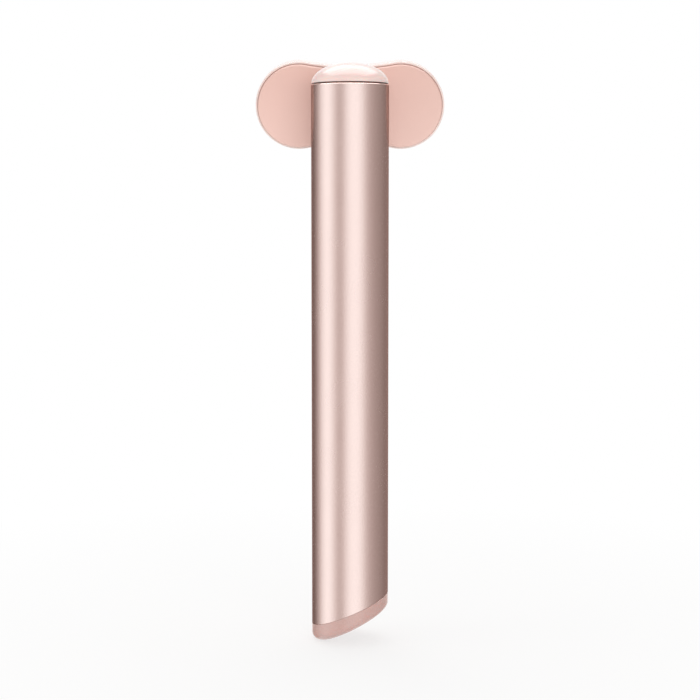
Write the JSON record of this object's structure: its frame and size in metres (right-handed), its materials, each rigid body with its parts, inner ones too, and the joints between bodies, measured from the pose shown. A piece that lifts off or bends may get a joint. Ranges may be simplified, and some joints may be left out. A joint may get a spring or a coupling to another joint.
{
  "type": "heated eye massager wand",
  "caption": "Handheld heated eye massager wand: a round metal handle with an oblique lower end, a power button, and a flat two-lobed swivelling head with a polished treatment plate.",
  "frame": {"origin": "on the handle's axis, at the middle of the grip, 61.5 mm above the lowest point of the end cap", "axes": "+Z along the handle, up to the head; the treatment face looks towards -Y and a little upwards; +X to the right of someone who looks at the treatment face"},
  "size_m": [0.05, 0.0328, 0.1525],
  "materials": {
    "rose_aluminium": "bead-blasted and anodised rose gold, fine satin grain",
    "pearl_cap": "injection-moulded ABS, pearl pink, glossy",
    "cover_plastic": "injection-moulded ABS, blush pink, soft gloss",
    "rim_plastic": "injection-moulded ABS, pale pink, high gloss",
    "end_cap_plastic": "injection-moulded, dusty pink, satin",
    "button_plastic": "moulded ABS, pale pink, soft gloss",
    "plated_rose_metal": "polished and rose-gold plated",
    "light_plastic": "clear frosted polycarbonate",
    "seal_rubber": "moulded silicone rubber, matt",
    "black_rubber": "moulded rubber, matt",
    "frame_plastic": "moulded ABS, natural white, matt",
    "housing_plastic": "moulded acetal, pale pink, satin",
    "battery_wrap": "aluminium-cased lithium cell in a heat-shrunk blue film",
    "board": "glass-epoxy circuit board, green solder mask",
    "chip_plastic": "moulded epoxy, black",
    "plunger_plastic": "moulded nylon, brown",
    "led_package": "moulded light-emitting diode package",
    "steel": "turned and stamped steel, nickel plated",
    "bush_brass": "sintered bronze, oiled",
    "heater": "polyimide film with etched foil",
    "wire_sleeve": "silicone-sleeved copper wire"
  },
  "bodies": {
    "handle": {"handle_tube": "rose_aluminium", "top_cap": "pearl_cap", "end_cap": "end_cap_plastic", "end_cap_seal": "black_rubber", "inner_frame": "frame_plastic", "frame_cover": "frame_plastic", "battery_cell": "battery_wrap", "battery_tabs": "steel", "main_board": "board", "board_chips": "chip_plastic", "board_screws": "steel", "switch_body": "chip_plastic", "status_leds": "led_package", "light_pipes": "light_plastic", "button_bezel": "plated_rose_metal", "handle_wires": "wire_sleeve", "charge_socket": "steel", "socket_tongue": "chip_plastic", "charge_board": "board", "motor_can": "steel", "motor_sleeve": "black_rubber", "pivot_housing": "housing_plastic", "housing_screws": "steel", "pivot_bush": "bush_brass", "friction_washer": "housing_plastic", "wave_washer": "steel"},
    "power_button": {"button_cap": "button_plastic", "switch_plunger": "plunger_plastic"},
    "motor_rotor": {"motor_shaft": "steel", "eccentric_weight": "steel"},
    "head": {"head_back_cover": "cover_plastic", "head_gasket": "seal_rubber", "head_rim": "rim_plastic", "treatment_plate": "plated_rose_metal", "heater_film": "heater", "thermistor": "chip_plastic", "led_board": "board", "head_leds": "led_package", "light_windows": "light_plastic", "pivot_shaft": "steel", "pivot_screws": "steel", "retaining_clip": "steel", "head_cable": "wire_sleeve"}
  },
  "joints": [
    {"name": "head_swivel", "type": "hinge", "parent": "handle", "child": "head", "pos_m": [0, -0.0116, 0.0784], "axis": [0, -0.9877, 0.1564], "range_deg": [-90, 90]},
    {"name": "button_press", "type": "slide", "parent": "handle", "child": "power_button", "axis": [0, 1, 0], "range_m": [0, 0.0005], "stiffness_N_per_m": 2500, "springref_m": -0.0002},
    {"name": "motor_spin", "type": "hinge", "parent": "handle", "child": "motor_rotor", "pos_m": [0, 0, 0.06], "axis": [0, 0, 1], "continuous": true}
  ]
}
